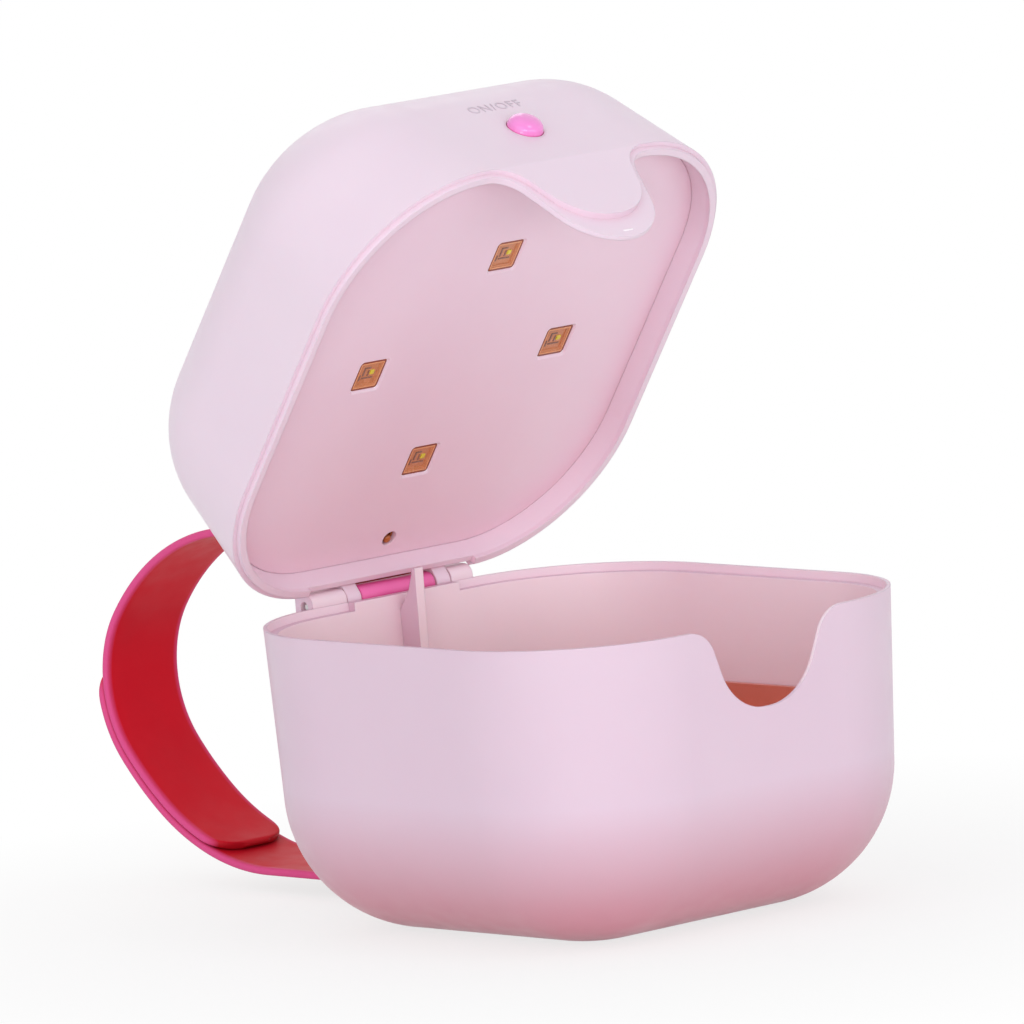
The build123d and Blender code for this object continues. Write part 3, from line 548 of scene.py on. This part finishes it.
# ---------------------------------------------------------------- stage, light and camera
def shown_rays(tree):
    """1 for the rays that show a surface to the eye, straight, mirrored or through something clear."""
    path = tree.nodes.new("ShaderNodeLightPath")
    shown = path.outputs["Is Camera Ray"]
    for kind in ("Is Glossy Ray", "Is Transmission Ray"):
        either = tree.nodes.new("ShaderNodeMath")
        either.operation = "MAXIMUM"
        tree.links.new(shown, either.inputs[0])
        tree.links.new(path.outputs[kind], either.inputs[1])
        shown = either.outputs[0]
    return shown


floor_half = 6.0
floor_mesh = bpy.data.meshes.new("floor")
floor_mesh.from_pydata([(floor_half * x, floor_half * y, 0) for x, y in corner_signs], [], [(2, 3, 0, 1)])
floor = mesh_object("floor", floor_mesh)
floor_shader = Shader("floor", (0.92, 0.92, 0.92), 0.9)
floor_shader.bump(floor_shader.noise(4 * MM, 3), 0.05 * MM, 0.2)
white = floor_shader.node("ShaderNodeEmission", Color=(1, 1, 1, 1), Strength=1.0)
# white far from the case, with the case's soft shadow close to it
from_middle = floor_shader.maths("LENGTH", floor_shader.place, kind="ShaderNodeVectorMath")
whiteness = floor_shader.maths("MULTIPLY", floor_shader.ramp(from_middle, 0.05, 0.14, 0.74, 1.0),
                               shown_rays(floor_shader.tree))
blend = floor_shader.node("ShaderNodeMixShader")
for socket, value in zip(blend.inputs, (whiteness, floor_shader.bsdf.outputs[0], white.outputs[0])):
    floor_shader.feed(socket, value)
floor_shader.feed(floor_shader.tree.nodes["Material Output"].inputs[0], blend.outputs[0])
floor.data.materials.append(floor_shader.material)

scene = bpy.context.scene
scene.view_settings.view_transform = "Standard"
world = bpy.data.worlds.new("studio")
scene.world = world
world.use_nodes = True
sky_tree = world.node_tree
sky = sky_tree.nodes["Background"]
sky.inputs["Color"].default_value = (1, 1, 1, 1)
# white to the eye, and weaker as a light
strength = sky_tree.nodes.new("ShaderNodeMapRange")
strength.inputs["To Min"].default_value = 0.62
strength.inputs["To Max"].default_value = 1.0
sky_tree.links.new(shown_rays(sky_tree), strength.inputs["Value"])
sky_tree.links.new(strength.outputs["Result"], sky.inputs["Strength"])


def softbox(name, place, aim_height, size, power):
    """A rectangular lamp of this size (m) and power (W) that points at the case's axis, at this height."""
    light = bpy.data.lights.new(name, "AREA")
    light.shape = "RECTANGLE"
    light.size, light.size_y = size
    light.energy = power
    lamp = bpy.data.objects.new(name, light)
    lamp.location = place
    lamp.rotation_euler = (Vector((0, 0, aim_height)) - Vector(place)).to_track_quat("-Z", "Y").to_euler()
    scene.collection.objects.link(lamp)


softbox("key", (0.10, -0.75, 0.85), 0.06, (0.3, 0.3), 0.8)
softbox("side", (-0.95, -0.2, 0.45), 0.06, (0.8, 0.8), 1.3)
softbox("back", (0.5, 0.8, 0.7), 0.08, (0.6, 0.6), 0.9)
softbox("low_front", (0.1, -1.0, 0.12), 0.08, (0.9, 0.22), 1.25)
softbox("low_left", (-0.75, -0.75, 0.14), 0.08, (0.8, 0.24), 2.9)
softbox("top", (-0.1, 0.1, 1.1), 0.06, (0.8, 0.8), 0.4)

# The photograph is nearly free of perspective: a long lens, a little above the rim, turned towards the
# left front corner, and rolled so that the right side stands higher.
azimuth, elevation, roll = radians(43.236), radians(7.374), radians(-4.188)
distance, lens, sensor = 2.22228, 562.28, 36.0
aim = Vector((0, 0, 43.4 * MM))
shift_right, shift_up = -8.0224 * MM, 13.6202 * MM
towards = Vector((-sin(azimuth) * cos(elevation), -cos(azimuth) * cos(elevation), sin(elevation)))
right = (-towards).cross(Vector((0, 0, 1))).normalized()
up = right.cross(-towards)
camera_data = bpy.data.cameras.new("camera")
camera_data.lens, camera_data.sensor_width = lens, sensor
camera_data.clip_end = 50.0
camera = bpy.data.objects.new("camera", camera_data)
scene.collection.objects.link(camera)
rolled_right = cos(roll) * right + sin(roll) * up
rolled_up = -sin(roll) * right + cos(roll) * up
place = aim + towards * distance + right * shift_right + up * shift_up
camera.matrix_world = Matrix((
    (rolled_right.x, rolled_up.x, towards.x, place.x),
    (rolled_right.y, rolled_up.y, towards.y, place.y),
    (rolled_right.z, rolled_up.z, towards.z, place.z),
    (0, 0, 0, 1),
))
scene.camera = camera
